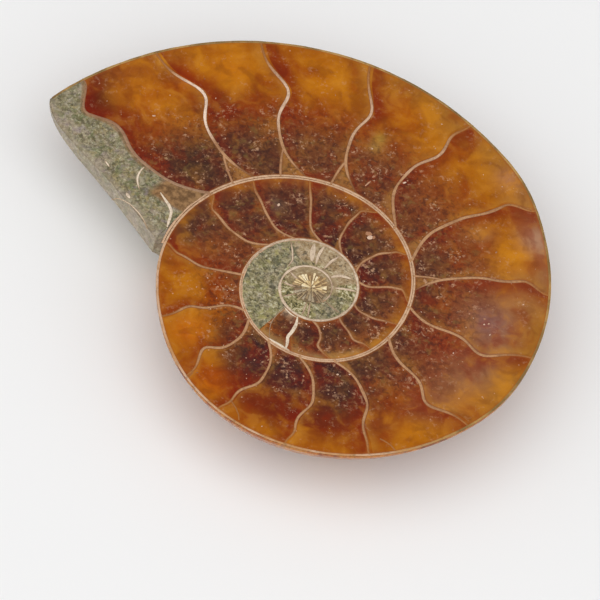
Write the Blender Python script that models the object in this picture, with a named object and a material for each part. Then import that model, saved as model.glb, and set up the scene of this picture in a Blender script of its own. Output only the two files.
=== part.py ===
"""Half of an ammonite fossil, sawn through the middle plane of the shell and polished.

The sawn face is level and looks up (+Z). The domed outer side looks down, and it rests on
a narrow flat ring, ground on the crest of the outer whorl. The coil's outline is one
logarithmic spiral, and its open end is broken off straight across the last whorl.

Angles are measured along the coil: 0 is at the last point of the outer edge before the
broken end, and the angle falls as the coil winds inwards, 360 degrees to a whorl.
"""
import math

import bmesh
import bpy

# Driving dimensions, in metres and degrees.
TIP_RADIUS = 0.0328        # from the coil's centre to the outer edge at angle 0
WHORL_GROWTH = 2.227       # how many times larger the radius gets in one whorl
START_DIRECTION = 150.8    # direction of angle 0, counter-clockwise from +X
THICKNESS = 0.0084         # from the sawn face down to the flat that it rests on
RIM_WALL = 0.0004          # upright edge all round the sawn face

# The broken end: a nearly straight edge from the outer edge to the whorl before it.
BREAK_OUTER_ANGLE = 4.0
BREAK_INNER_ANGLE = 25.6
BREAK_INNER_RADIUS = 0.0163
BREAK_BULGE = 0.0010       # how far the edge swells out of the straight line
BREAK_BULGE_AT = 0.19      # where it swells most, as a share of the way from its outer end
BREAK_BULGE_RISE = 0.8     # below 1 gives the outer end a blunt corner
NOTCH_ANGLE = 1.2          # the break ends this far from where the free outer edge starts
BREAK_WALL_SHARE = 0.30    # share of the whorl's depth that the break's wall is upright for
BREAK_ROUNDING = 0.0045    # how far behind the break the underside reaches its full depth
STEP_WIDTH = 0.0036        # the break goes on inwards as a slope down to the whorl before
STEP_FADES_FROM = -318.0
STEP_FADES_TO = -282.0

# Gentle swellings (+) and dents (-) of the outer edge:
# angle, half-width in degrees, and change of the radius as a share of it.
OUTLINE_WAVES = (
    (4.0, 12.0, 0.008), (-104.0, 12.0, 0.014), (-170.0, 12.0, 0.009), (-303.0, 30.0, -0.045),
)

# Half-section of the domed side: share of the way out to the outer edge, share of the depth.
SECTION = (
    (0.00, 0.60), (0.16, 0.61), (0.22, 0.65), (0.27, 0.76), (0.31, 0.90), (0.345, 0.975),
    (0.38, 1.00), (0.47, 1.00), (0.53, 0.98), (0.60, 0.93), (0.67, 0.855), (0.74, 0.755),
    (0.81, 0.63), (0.87, 0.495), (0.92, 0.355), (0.965, 0.20), (1.00, RIM_WALL / THICKNESS),
)
INNER_DEPTH_DROP = 0.22    # the crest is shallower where the last quarter whorl thins
DROP_FROM = 235.0
DROP_TO = 325.0
DROP_STARTS_AT = 0.16      # share of the way out, so that the middle stays level
DROP_WHOLE_AT = 0.32

# The grid of the domed side: round rings at the middle, which take the outline's shape
# on the way out, closer together where the edge is steep.
RINGS = 23
RING_CROWDING = 1.25
MIDDLE_RING_RADIUS = 0.024
SHELL_COLUMNS = 126
BREAK_COLUMNS = 20
BREAK_CROWDING = 1.35
STONE_COLOUR = (0.30, 0.10, 0.02, 1.0)
STONE_ROUGHNESS = 0.25


def coil_radius(angle):
    """Distance from the coil's centre to the outer edge of the whorl at this angle."""
    radius = TIP_RADIUS * WHORL_GROWTH ** (angle / 360.0)
    for middle, half_width, change in OUTLINE_WAVES:
        radius *= 1.0 + change * math.exp(-(((angle - middle) / half_width) ** 2))
    return radius


def on_plane(radius, angle):
    """Point of the sawn face's plane at this radius and coil angle."""
    direction = math.radians(START_DIRECTION + angle)
    return radius * math.cos(direction), radius * math.sin(direction)


def break_line():
    """The two ends of the straight break, on the plane of the sawn face."""
    outer = on_plane(coil_radius(BREAK_OUTER_ANGLE), BREAK_OUTER_ANGLE)
    inner = on_plane(BREAK_INNER_RADIUS, BREAK_INNER_ANGLE)
    return outer, inner


def break_point(share):
    """Coil angle and radius on the break's edge: share 0 is its outer end, 1 its inner end."""
    (x1, y1), (x2, y2) = break_line()
    along_x, along_y = x2 - x1, y2 - y1
    length = math.hypot(along_x, along_y)
    fall = BREAK_BULGE_RISE * (1.0 - BREAK_BULGE_AT) / BREAK_BULGE_AT
    bulge = BREAK_BULGE * (share / BREAK_BULGE_AT) ** BREAK_BULGE_RISE
    bulge *= ((1.0 - share) / (1.0 - BREAK_BULGE_AT)) ** fall
    x = x1 + along_x * share + bulge * along_y / length
    y = y1 + along_y * share - bulge * along_x / length
    angle = math.degrees(math.atan2(y, x)) - START_DIRECTION
    return (angle + 180.0) % 360.0 - 180.0, math.hypot(x, y)


def distance_behind_break(x, y):
    """How far a point lies behind the straight line of the break, on the fossil's side."""
    (x1, y1), (x2, y2) = break_line()
    along_x, along_y = x2 - x1, y2 - y1
    length = math.hypot(along_x, along_y)
    return ((y - y1) * along_x - (x - x1) * along_y) / length


def smooth_step(value):
    value = min(max(value, 0.0), 1.0)
    return value * value * (3.0 - 2.0 * value)


def section_depth(share):
    """Depth of the domed side, as a share, at this share of the way to the outer edge."""
    for (share_a, depth_a), (share_b, depth_b) in zip(SECTION, SECTION[1:]):
        if share <= share_b:
            return depth_a + (depth_b - depth_a) * (share - share_a) / (share_b - share_a)
    return SECTION[-1][1]


def columns():
    """Every direction of the outline, as its coil angle and the radius of the face's edge."""
    listed = []
    last_angle = BREAK_INNER_ANGLE - 360.0 - NOTCH_ANGLE
    for step in range(SHELL_COLUMNS):
        angle = BREAK_OUTER_ANGLE + (last_angle - BREAK_OUTER_ANGLE) * step / (SHELL_COLUMNS - 1)
        listed.append((angle, coil_radius(angle)))
    for step in range(BREAK_COLUMNS):
        listed.append(break_point((1.0 - step / BREAK_COLUMNS) ** BREAK_CROWDING))
    return listed


def last_whorl_depth(radius, angle):
    """Depth of the last stretch of the coil, which rounds over towards its broken end."""
    behind = distance_behind_break(*on_plane(radius, angle))
    depth = section_depth(radius / coil_radius(angle))
    return depth * (BREAK_WALL_SHARE + (1.0 - BREAK_WALL_SHARE) * smooth_step(behind / BREAK_ROUNDING))


def whole_whorl_depth(radius, angle):
    """Depth of the coil away from its end; it thins over the last quarter whorl."""
    share = radius / coil_radius(angle)
    drop = smooth_step((-angle - DROP_FROM) / (DROP_TO - DROP_FROM))
    drop *= smooth_step((share - DROP_STARTS_AT) / (DROP_WHOLE_AT - DROP_STARTS_AT))
    return section_depth(share) * (1.0 - INNER_DEPTH_DROP * drop)


def domed_depth(radius, angle):
    """Depth of the domed side under one point of the face, as a share of the thickness."""
    if angle > -90.0:
        return last_whorl_depth(radius, angle)
    depth = whole_whorl_depth(radius, angle)
    overlap = smooth_step((STEP_FADES_TO - angle) / (STEP_FADES_TO - STEP_FADES_FROM))
    overlap *= smooth_step(distance_behind_break(*on_plane(radius, angle)) / STEP_WIDTH)
    return depth + overlap * (last_whorl_depth(radius, angle + 360.0) - depth)


def ring_vertices(mesh, grid, step):
    """One ring of the domed side; the last step is the ring under the face's edge."""
    share = 1.0 - (1.0 - step / RINGS) ** RING_CROWDING
    ring = []
    for angle, edge_radius in grid:
        radius = share * (MIDDLE_RING_RADIUS + share * (edge_radius - MIDDLE_RING_RADIUS))
        x, y = on_plane(radius, angle)
        ring.append(mesh.verts.new((x, y, THICKNESS * (1.0 - domed_depth(radius, angle)))))
    return ring


def join_rings(mesh, inner, outer):
    """Quads between two rings of the same length."""
    count = len(inner)
    for index in range(count):
        after = (index + 1) % count
        mesh.faces.new((inner[index], inner[after], outer[after], outer[index]))


def build_half():
    """The whole half as one closed mesh around the coil's centre."""
    mesh = bmesh.new()
    grid = columns()
    face_ring = []
    for angle, edge_radius in grid:
        x, y = on_plane(edge_radius, angle)
        face_ring.append(mesh.verts.new((x, y, THICKNESS)))
    mesh.faces.new(face_ring)

    rings = [ring_vertices(mesh, grid, step) for step in range(1, RINGS + 1)]
    for inner, outer in zip(rings, rings[1:]):
        join_rings(mesh, inner, outer)
    join_rings(mesh, rings[-1], face_ring)

    middle = mesh.verts.new((0.0, 0.0, THICKNESS * (1.0 - SECTION[0][1])))
    first = rings[0]
    for index in range(len(first)):
        mesh.faces.new((middle, first[(index + 1) % len(first)], first[index]))
    bmesh.ops.recalc_face_normals(mesh, faces=mesh.faces[:])
    return mesh


def move_to_bottom_centre(mesh):
    """Put the middle of the bounding box's floor on the origin."""
    xs = [vertex.co.x for vertex in mesh.verts]
    ys = [vertex.co.y for vertex in mesh.verts]
    offset = (-(min(xs) + max(xs)) / 2.0, -(min(ys) + max(ys)) / 2.0, 0.0)
    bmesh.ops.translate(mesh, verts=mesh.verts[:], vec=offset)
    return offset


def stone_material():
    material = bpy.data.materials.new("polished_fossil")
    material.use_nodes = True
    shader = material.node_tree.nodes["Principled BSDF"]
    shader.inputs["Base Color"].default_value = STONE_COLOUR
    shader.inputs["Roughness"].default_value = STONE_ROUGHNESS
    shader.inputs["Metallic"].default_value = 0.0
    return material


def main():
    for item in list(bpy.data.objects):
        bpy.data.objects.remove(item, do_unlink=True)
    mesh = build_half()
    offset = move_to_bottom_centre(mesh)
    data = bpy.data.meshes.new("ammonite_half")
    mesh.to_mesh(data)
    mesh.free()
    data.materials.append(stone_material())
    data.shade_smooth()
    data.set_sharp_from_angle(angle=math.radians(35.0))
    half = bpy.data.objects.new("ammonite_half", data)
    bpy.context.collection.objects.link(half)
    bpy.context.view_layer.update()
    size = ", ".join(f"{side * 1000.0:.2f}" for side in half.dimensions)
    centre = ", ".join(f"{value * 1000.0:.2f}" for value in offset[:2])
    print(f"ammonite_half: {size} mm, coil centre at {centre} mm, {len(data.polygons)} faces")


main()
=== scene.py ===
# %% [markdown]
# # A polished ammonite half
# An ammonite is the coiled shell of a sea animal. This one was sawn through its middle
# plane and polished, so its face shows the coil from inside: chambers filled with amber
# calcite, thin pinkish walls (septa) between them, and grey-green sandstone in the open
# end and in the core. The other side keeps the domed outside of the shell.
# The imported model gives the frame: its box, its flat face and its domed side. The looks
# are built around it here, one piece at a time.

# %% Load the fixed frame
import math
import random

import bpy
import numpy as np
from mathutils import Matrix, Vector, noise


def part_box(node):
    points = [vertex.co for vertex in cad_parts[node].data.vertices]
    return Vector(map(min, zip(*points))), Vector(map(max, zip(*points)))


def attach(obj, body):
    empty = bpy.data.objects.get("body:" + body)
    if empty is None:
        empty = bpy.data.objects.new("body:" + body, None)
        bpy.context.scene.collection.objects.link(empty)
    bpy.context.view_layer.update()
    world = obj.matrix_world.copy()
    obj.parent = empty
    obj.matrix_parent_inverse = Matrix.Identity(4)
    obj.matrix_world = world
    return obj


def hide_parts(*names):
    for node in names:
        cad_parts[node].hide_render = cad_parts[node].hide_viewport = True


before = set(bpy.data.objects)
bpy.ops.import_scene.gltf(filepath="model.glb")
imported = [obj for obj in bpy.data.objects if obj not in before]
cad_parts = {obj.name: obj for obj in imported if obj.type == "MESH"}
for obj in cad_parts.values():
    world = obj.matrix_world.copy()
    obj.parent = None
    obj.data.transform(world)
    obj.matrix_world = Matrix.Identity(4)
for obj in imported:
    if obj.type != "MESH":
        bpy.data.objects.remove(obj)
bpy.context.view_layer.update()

NODE = "ammonite_half"
low, high = (Vector(corner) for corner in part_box(NODE))
FACE = high.z
MM = 0.001
random.seed(7)
bpy.context.scene.view_settings.view_transform = "Standard"
print("face at", round(FACE / MM, 2), "mm, box", [round(side / MM, 1) for side in high - low])

# %% [markdown]
# ## The coil
# Every whorl is the same shape, enlarged: the radius grows by one factor per turn. That is
# a logarithmic spiral. Angle 0 is at the last point of the outer edge, and the angle falls
# as the coil winds inwards. A few gentle swellings and dents keep it from being a drawing.

# %% The spiral of the outer edge
COIL_CENTRE = Vector((3.27 * MM, -4.77 * MM))
TIP_RADIUS = 32.8 * MM
WHORL_GROWTH = 2.227
START_DIRECTION = 150.8
OUTLINE_WAVES = (
    (4.0, 12.0, 0.008), (-104.0, 12.0, 0.014), (-170.0, 12.0, 0.009), (-303.0, 30.0, -0.045),
    (-518.0, 34.0, -0.038),
)
FREE_EDGE_ENDS = -334.0
CORE_SHRINK = 0.033
CORE_SHRINK_FROM = -430.0
CORE_SHRINK_OVER = 60.0


def smooth_step(value):
    value = np.clip(value, 0.0, 1.0)
    return value * value * (3.0 - 2.0 * value)


def coil_radius(angle):
    """Distance from the coil's centre to the whorl's outer edge, for angles in degrees."""
    angle = np.asarray(angle, float)
    radius = TIP_RADIUS * WHORL_GROWTH ** (angle / 360.0)
    for middle, half_width, change in OUTLINE_WAVES:
        radius = radius * (1.0 + change * np.exp(-(((angle - middle) / half_width) ** 2)))
    shrunk = smooth_step((CORE_SHRINK_FROM - angle) / CORE_SHRINK_OVER)
    return radius * (1.0 - CORE_SHRINK * shrunk)


def on_face(radius, angle):
    """x and y on the sawn face, at this radius and coil angle."""
    direction = np.radians(START_DIRECTION + np.asarray(angle, float))
    return COIL_CENTRE.x + radius * np.cos(direction), COIL_CENTRE.y + radius * np.sin(direction)


def coil_place(x, y):
    """The other way round: the coil angle and radius of places on the face."""
    off_x = np.asarray(x) - COIL_CENTRE.x
    off_y = np.asarray(y) - COIL_CENTRE.y
    radius = np.hypot(off_x, off_y)
    turned = np.degrees(np.arctan2(off_y, off_x)) - START_DIRECTION
    angle = (turned - FREE_EDGE_ENDS) % 360.0 + FREE_EDGE_ENDS
    for _ in range(4):
        angle = np.where(radius < coil_radius(angle - 360.0), angle - 360.0, angle)
    return angle, radius


print("radius at the tip and one whorl in, mm:", np.round(coil_radius([0.0, -360.0]) / MM, 2))

# %% [markdown]
# ## Where the septa stand
# The animal closed off a new chamber about every 23 degrees. Each septum is a wave: it
# bellies forward in the middle, leans, and turns aside at its foot, where it meets the
# whorl before. One row is one septum: its angle, then how far it is pushed inwards, in
# degrees, by its belly, its lean, its tip at the outer edge and its foot.

# %% One row for each septum
SEPTA = (
    (3.2, 3.5, 0.5, 6.0, 7.0), (-18.3, 4.5, 0.0, 0.0, 6.0), (-38.7, 4.3, 0.0, 0.0, 8.0),
    (-60.7, 3.2, 0.4, -0.4, 9.0), (-81.5, 2.6, 2.0, 2.0, 13.0), (-105.0, 1.0, 1.7, 4.5, 10.0),
    (-128.2, 1.0, 2.0, 4.5, 6.0), (-154.0, 4.5, 0.5, -0.5, -8.0), (-180.8, 4.8, 1.2, 0.0, -8.0),
    (-205.0, 2.0, 5.6, 1.2, 8.0), (-227.3, 2.5, 6.0, 3.0, 9.0), (-251.5, 2.5, 5.5, 2.5, 9.0),
    (-275.0, 5.5, 0.0, 0.0, 8.0), (-299.8, 2.6, 0.4, 0.0, -8.0), (-325.8, 0.3, 4.5, 3.5, 0.0),
    (-355.8, 0.5, 3.0, 6.0, 11.0), (-380.7, 0.5, 1.0, 1.5, 12.0), (-408.0, 0.5, 0.0, 0.0, 12.0),
    (-433.0, 0.0, 2.5, 7.0, 11.0), (-463.0, 0.0, 4.0, 4.0, 8.0), (-491.8, -0.5, 2.0, 9.0, -8.0),
    (-524.3, 0.0, -3.0, -1.0, -7.0), (-550.5, 3.0, -3.5, 0.0, -3.0), (-578.8, 4.0, 0.0, -3.0, 7.0),
    (-606.0, 2.5, -1.5, -1.0, 10.0), (-632.0, 2.0, -1.0, 0.0, 0.0),
)
BELLY_AT = 0.64
BELLY_WIDTH = 0.15
FOOT_HEIGHT = 0.30
FOOT_POWER = 2.7


def septum_angle(row, across):
    """Coil angle along one septum, from its foot (across 0) to the outer edge (across 1)."""
    angle, belly, lean, tip, foot = row
    bulge = belly * np.exp(-(((across - BELLY_AT) / BELLY_WIDTH) ** 2))
    slope = lean * smooth_step((across - 0.45) / 0.4) + tip * smooth_step((across - 0.8) / 0.2)
    heel = foot * np.clip(1.0 - across / FOOT_HEIGHT, 0.0, 1.0) ** FOOT_POWER
    return angle - bulge - slope - heel


def chamber_angle(along, across):
    """Coil angle at a place counted in chambers: septum 3 is at along = 3, for any across."""
    rows = np.array(SEPTA)
    first = np.clip(np.floor(along).astype(int), 0, len(SEPTA) - 2)
    share = along - first
    start = septum_angle(rows[first].T, across)
    end = septum_angle(rows[first + 1].T, across)
    return start + (end - start) * share


print(len(SEPTA) - 1, "chambers, from", SEPTA[0][0], "to", SEPTA[-1][0], "degrees")

# %% [markdown]
# ## From the coil to the face
# Between two whorls the shell wall is double. The fill of a chamber stops at that wall, and
# at the free edge it stops at the thin rim of the shell. Each place in a whorl is therefore
# a share of the way across, from the inner wall to the outer one.

# %% Wall thickness, and any place in a whorl
RIM_WIDTH = 0.20 * MM


def wall_half(radius):
    """Half the thickness of the double wall between two whorls."""
    return 0.5 * (0.012 * radius + 0.15 * MM)


def whorl_place(angle, across):
    """x, y, and the width of the whorl, at a share of the way across it."""
    inner = coil_radius(angle - 360.0)
    outer = coil_radius(angle)
    inner = inner + wall_half(inner)
    margin = np.where(angle > FREE_EDGE_ENDS, RIM_WIDTH, wall_half(outer))
    outer = outer - margin
    radius = inner + (outer - inner) * across
    x, y = on_face(radius, angle)
    return x, y, outer - inner


print("wall between whorls, mm:", round(float(2 * wall_half(coil_radius(-360.0))) / MM, 2))

# %% [markdown]
# ## Tools for the meshes
# Every flat piece starts as a grid of one unit by one unit: its x is the place along the
# coil and its y the place across. The grid is laid on the face, then extruded down in edit
# mode, which closes it.

# %% Selecting, gridding, closing
FILL_THICKNESS = 0.25 * MM


def deselect():
    for item in bpy.context.selected_objects:
        item.select_set(False)


def only(piece):
    """Select one piece and make it active."""
    deselect()
    piece.select_set(True)
    bpy.context.view_layer.objects.active = piece


def open_mesh(piece):
    """Go into edit mode with the whole mesh selected."""
    only(piece)
    bpy.ops.object.mode_set(mode="EDIT")
    bpy.ops.mesh.select_all(action="SELECT")


def close_mesh():
    """Turn all normals outwards and leave edit mode."""
    bpy.ops.mesh.select_all(action="SELECT")
    bpy.ops.mesh.normals_make_consistent(inside=False)
    bpy.ops.object.mode_set(mode="OBJECT")


def named(piece, name):
    piece.name = name
    piece.data.name = name
    return piece


def unit_grid(name, columns, rows):
    """A flat unit grid, as a named object."""
    deselect()
    bpy.ops.mesh.primitive_grid_add(x_subdivisions=columns, y_subdivisions=rows, size=1.0)
    return named(bpy.context.active_object, name)


def places(piece):
    """The mesh's vertices as an array of rows x, y, z."""
    flat = np.empty(len(piece.data.vertices) * 3, np.float32)
    piece.data.vertices.foreach_get("co", flat)
    return flat.reshape(-1, 3).astype(float)


def move_to(piece, x, y, z):
    piece.data.vertices.foreach_set("co", np.stack([x, y, z], axis=1).astype(np.float32).ravel())
    piece.data.update()


def raise_by(piece, height):
    move_to(piece, *(places(piece) + np.array([0.0, 0.0, height])).T)


def keep(piece, name, *columns):
    """Store one or three numbers for each vertex, for the material to read."""
    kind, field = ("FLOAT", "value") if len(columns) == 1 else ("FLOAT_VECTOR", "vector")
    layer = piece.data.attributes.new(name, kind, "POINT")
    layer.data.foreach_set(field, np.stack(columns, axis=1).astype(np.float32).ravel())


def close_below(piece):
    """Extrude the whole sheet downwards by FILL_THICKNESS, so that it becomes a closed slab."""
    open_mesh(piece)
    bpy.ops.mesh.extrude_region_move(TRANSFORM_OT_translate={"value": (0.0, 0.0, -FILL_THICKNESS)})
    close_mesh()


def dress(material, degrees, *pieces):
    """Give pieces a material, and smooth shading except across sharper edges."""
    for piece in pieces:
        piece.data.materials.append(material)
        only(piece)
        bpy.ops.object.shade_smooth_by_angle(angle=math.radians(degrees), keep_sharp_edges=False)


def ripple(x, y, size, seed):
    """Soft noise between about -1 and 1, one value for each place."""
    drift = 31.7 * seed
    return np.array([
        noise.noise(Vector((px / size + drift, py / size - drift, drift))) for px, py in zip(x, y)
    ])


print("helpers ready")

# %% [markdown]
# ## Writing materials as expressions
# A Wire is one value on its way through the shader nodes. Arithmetic on it adds Math
# nodes, so that a pattern reads like a formula. Its other methods add one node each. A
# Finish is one material: it makes the nodes and feeds the shader at the end.

# %% Wires
class Wire:
    """A value between shader nodes; arithmetic on it adds Math nodes."""

    def __init__(self, finish, socket):
        self.finish = finish
        self.socket = socket

    def maths(self, operation, first, second):
        return self.finish.node("Math", {"operation": operation}, {0: first, 1: second})

    def __add__(self, other):
        return self.maths("ADD", self, other)

    def __rsub__(self, other):
        return self.maths("SUBTRACT", other, self)

    def __mul__(self, other):
        return self.maths("MULTIPLY", self, other)

    __radd__ = __add__

    def part(self, axis):
        """One component of a vector."""
        return self.finish.node("SeparateXYZ", None, {0: self}, axis)

    def step(self, start, end):
        """0 up to start, 1 from end on, smooth between them."""
        return self.finish.node(
            "MapRange", {"interpolation_type": "SMOOTHSTEP"},
            {"Value": self, "From Min": start, "From Max": end, "To Min": 0.0, "To Max": 1.0},
        )

    def cloud(self, grain, detail=3.0, roughness=0.55, distortion=0.0):
        """Noise between 0 and 1 at this place, whose blotches are about one grain across."""
        return self.finish.node(
            "TexNoise", None,
            {"Vector": self, "Scale": 1.0 / grain, "Detail": detail, "Roughness": roughness,
             "Distortion": distortion},
        )

    def cells(self, size, feature="F1", output="Distance"):
        """Voronoi cells about one size across, at this place."""
        return self.finish.node(
            "TexVoronoi", {"feature": feature}, {"Vector": self, "Scale": 1.0 / size}, output)

    def ramp(self, *stops):
        """Colours at stops along this value."""
        return self.finish.node("ValToRGB", {"stops": stops}, {"Fac": self})

    def mixed(self, share, colour, mode="MIX"):
        """This colour, with a share of another one."""
        return self.finish.mix(share, self, colour, mode)


print("wires ready")

# %% [markdown]
# Colours are written as the eye reads them on a screen, 0 to 255, and turned into the
# linear values that the shader wants.

# %% Tones and finishes
def tone(red, green, blue):
    """A screen colour as a linear one."""
    linear = []
    for value in (red, green, blue):
        share = value / 255.0
        linear.append(share / 12.92 if share <= 0.04045 else ((share + 0.055) / 1.055) ** 2.4)
    return (*linear, 1.0)


class Finish:
    """One material: a Principled shader with constants, and the nodes that feed it."""

    def __init__(self, name, **constants):
        self.material = bpy.data.materials.new(name)
        self.material.use_nodes = True
        self.tree = self.material.node_tree
        self.shader = self.tree.nodes["Principled BSDF"]
        for socket, value in constants.items():
            self.shader.inputs[socket.replace("_", " ")].default_value = value

    def node(self, kind, settings=None, inputs=None, output=0):
        """Add a node: its settings first, then the values or wires of its sockets."""
        made = self.tree.nodes.new("ShaderNode" + kind)
        settings = dict(settings or {})
        stops = settings.pop("stops", ())
        for setting, value in settings.items():
            setattr(made, setting, value)
        if stops:
            marks = made.color_ramp.elements
            while len(marks) < len(stops):
                marks.new(1.0)
            for mark, (position, colour) in zip(marks, stops):
                mark.position = position
                mark.color = tone(*colour)
        for socket, value in (inputs or {}).items():
            if isinstance(value, Wire):
                self.tree.links.new(value.socket, made.inputs[socket])
            else:
                made.inputs[socket].default_value = value
        return Wire(self, made.outputs[output])

    def spot(self):
        """The place on the piece, in metres."""
        return self.node("TexCoord", output="Object")

    def stored(self, name, output="Vector"):
        """An attribute of the mesh: its vector, its value, or its colour."""
        return self.node("Attribute", {"attribute_name": name}, output=output)

    def mix(self, share, first, second, mode="MIX"):
        """Mix two colours, each a wire or three screen values."""
        first, second = (end if isinstance(end, Wire) else tone(*end) for end in (first, second))
        return self.node(
            "Mix", {"data_type": "RGBA", "blend_type": mode}, {0: share, 6: first, 7: second}, 2)

    def feed(self, socket, wire):
        self.tree.links.new(wire.socket, self.shader.inputs[socket])

    def done(self, colour, height, depth):
        """Feed the colour and the relief, whose depth is in metres, and give the material."""
        relief = {"Height": height, "Strength": 1.0, "Distance": depth}
        self.feed("Base Color", colour)
        self.feed("Normal", self.node("Bump", None, relief))
        return self.material


print("amber in linear light:", [round(value, 3) for value in tone(172, 104, 26)])

# %% [markdown]
# ## The colours of the chambers
# The calcite is honey and amber near the outer edge, rust in the middle and a smoky maroon
# against the inner wall. The older chambers are redder, then browner, and some have a rosy
# haze. A row below is a place along the coil, counted in chambers, and the five colours
# from the inner wall to the outer edge. Between rows the colours blend.

# %% Palette
SOOT = (56, 32, 32)
SMOKE = (72, 41, 33)
UMBER = (87, 50, 35)
BARK = (108, 60, 35)
RUSSET = (122, 60, 32)
MAROON = (89, 41, 25)
RUST = (116, 41, 11)
BRICK = (134, 55, 13)
EMBER = (140, 58, 5)
COPPER = (143, 73, 22)
AMBER = (160, 87, 8)
GOLD = (169, 98, 10)
HONEY = (159, 102, 35)
ROSE = (136, 84, 55)
BLUSH = (147, 97, 65)
STRAW = (155, 123, 79)
CREAM = (190, 170, 142)

CHAMBER_BANDS = (
    (0.0, UMBER, UMBER, RUST, MAROON, MAROON), (0.5, UMBER, UMBER, COPPER, AMBER, COPPER),
    (1.5, UMBER, UMBER, BRICK, GOLD, AMBER), (2.5, BARK, BARK, BRICK, GOLD, AMBER),
    (3.5, BARK, BARK, COPPER, GOLD, HONEY), (4.5, BARK, RUSSET, COPPER, GOLD, HONEY),
    (5.5, UMBER, BARK, COPPER, GOLD, BLUSH), (6.5, UMBER, RUSSET, ROSE, BLUSH, HONEY),
    (7.5, UMBER, BARK, ROSE, BLUSH, HONEY), (8.5, UMBER, BARK, BRICK, COPPER, GOLD),
    (9.5, SOOT, SMOKE, MAROON, RUST, AMBER), (10.5, SOOT, SMOKE, RUST, RUST, AMBER),
    (11.5, SOOT, SMOKE, MAROON, EMBER, AMBER), (12.5, RUSSET, AMBER, AMBER, AMBER, GOLD),
    (13.5, RUSSET, EMBER, AMBER, GOLD, AMBER), (14.5, RUSSET, RUSSET, RUSSET, UMBER, UMBER),
    (15.5, BARK, UMBER, UMBER, UMBER, RUSSET), (17.5, SOOT, SMOKE, UMBER, UMBER, RUSSET),
    (19.5, SOOT, SMOKE, UMBER, BARK, COPPER), (21.5, UMBER, UMBER, BARK, RUSSET, HONEY),
    (23.5, COPPER, SMOKE, SMOKE, BARK, STRAW), (25.0, CREAM, BARK, BARK, COPPER, STRAW),
)
BAND_HEIGHTS = (0.04, 0.27, 0.50, 0.74, 0.94)


def chamber_tint(along, across):
    """Colour of the calcite, before its crystals and flecks, as linear red, green, blue."""
    stations = [row[0] for row in CHAMBER_BANDS]
    tones = np.array([[tone(*colour)[:3] for colour in row[1:]] for row in CHAMBER_BANDS])
    last = len(BAND_HEIGHTS) - 2
    step = np.clip(np.searchsorted(BAND_HEIGHTS, across) - 1, 0, last)
    bottom = np.take(BAND_HEIGHTS, step)
    top = np.take(BAND_HEIGHTS, step + 1)
    share = np.clip((across - bottom) / (top - bottom), 0.0, 1.0)
    tint = np.zeros((len(along), 3))
    for channel in range(3):
        bands = [np.interp(along, stations, tones[:, level, channel]) for level in range(last + 2)]
        below = np.choose(step, bands[:-1])
        above = np.choose(step, bands[1:])
        tint[:, channel] = below + (above - below) * share
    return tint


print(len(CHAMBER_BANDS), "colour rows")

# %% [markdown]
# Crystals didn't grow evenly. These glows are soft spots of one more calcite: the coil
# angle, how far across, the size in millimetres, the colour, and its share at the middle.

# %% Glows
GLOWS = (
    (-1.5, 0.86, 1.5, (66, 24, 14), 0.95), (-3.6, 0.66, 1.5, (84, 30, 14), 0.85),
    (-9.5, 0.72, 2.8, (190, 112, 16), 0.8), (-8.0, 0.22, 2.4, (72, 50, 34), 0.7),
    (-20.0, 0.95, 0.9, (196, 134, 34), 0.7), (-20.8, 0.78, 1.2, (170, 66, 6), 0.8),
    (-31.0, 0.80, 2.4, (196, 116, 14), 0.8), (-22.8, 0.50, 2.2, (108, 32, 12), 0.8),
    (-42.0, 0.79, 1.3, (132, 38, 16), 0.8), (-51.0, 0.77, 2.8, (190, 112, 10), 0.7),
    (-65.2, 0.74, 1.3, (118, 40, 22), 0.8), (-68.8, 0.49, 0.7, (170, 136, 58), 0.8),
    (-68.6, 0.41, 0.7, (160, 122, 62), 0.8), (-72.0, 0.78, 2.0, (186, 106, 10), 0.7),
    (-88.0, 0.74, 2.2, (188, 112, 18), 0.6), (-123.0, 0.80, 1.8, (196, 122, 10), 0.8),
    (-112.0, 0.55, 1.6, (150, 100, 66), 0.5), (-119.0, 0.96, 1.7, (180, 138, 112), 0.65),
    (-101.0, 0.93, 1.2, (178, 120, 84), 0.7), (-137.0, 0.80, 1.8, (176, 118, 60), 0.7),
    (-146.0, 0.60, 1.8, (132, 98, 104), 0.45), (-165.0, 0.34, 2.4, (136, 52, 24), 0.6),
    (-176.0, 0.84, 2.0, (182, 114, 34), 0.6), (-197.0, 0.86, 1.6, (192, 116, 10), 0.7),
    (-213.0, 0.24, 1.8, (62, 36, 34), 0.8), (-236.0, 0.26, 1.9, (66, 34, 34), 0.85),
    (-259.0, 0.24, 2.0, (64, 36, 36), 0.85), (-282.0, 0.26, 1.7, (72, 38, 34), 0.75),
    (-268.0, 0.80, 1.6, (202, 106, 6), 0.7), (-291.0, 0.72, 1.8, (196, 100, 8), 0.7),
    (-318.0, 0.72, 2.2, (190, 116, 12), 0.7), (-348.0, 0.76, 1.4, (84, 48, 30), 0.5),
    (-388.0, 0.55, 0.9, (140, 122, 106), 0.25), (-447.0, 0.40, 1.0, (96, 40, 26), 0.6),
)


def add_glows(tint, x, y):
    """Blend every glow into the colours of the places x, y."""
    for angle, across, size, colour, most in GLOWS:
        spot_x, spot_y, _ = whorl_place(np.array([angle]), np.array([across]))
        apart = np.hypot(x - spot_x[0], y - spot_y[0]) / (size * MM)
        share = (most * np.exp(-(apart ** 2)))[:, None]
        tint += (np.array(tone(*colour)[:3]) - tint) * share
    return tint


print(len(GLOWS), "glows")

# %% [markdown]
# ## The calcite in the chambers
# One grid per stretch of coil carries all the chambers of that stretch. Its columns follow
# the septa, so that a chamber's edge is always on an edge of the mesh, and the material can
# ask how far along its own chamber it is. It is also told how deep in the dark part by the
# inner wall it is; in the older chambers that part reaches higher. The polish leaves the
# softer fill a hair lower than the septa around it.

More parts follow.
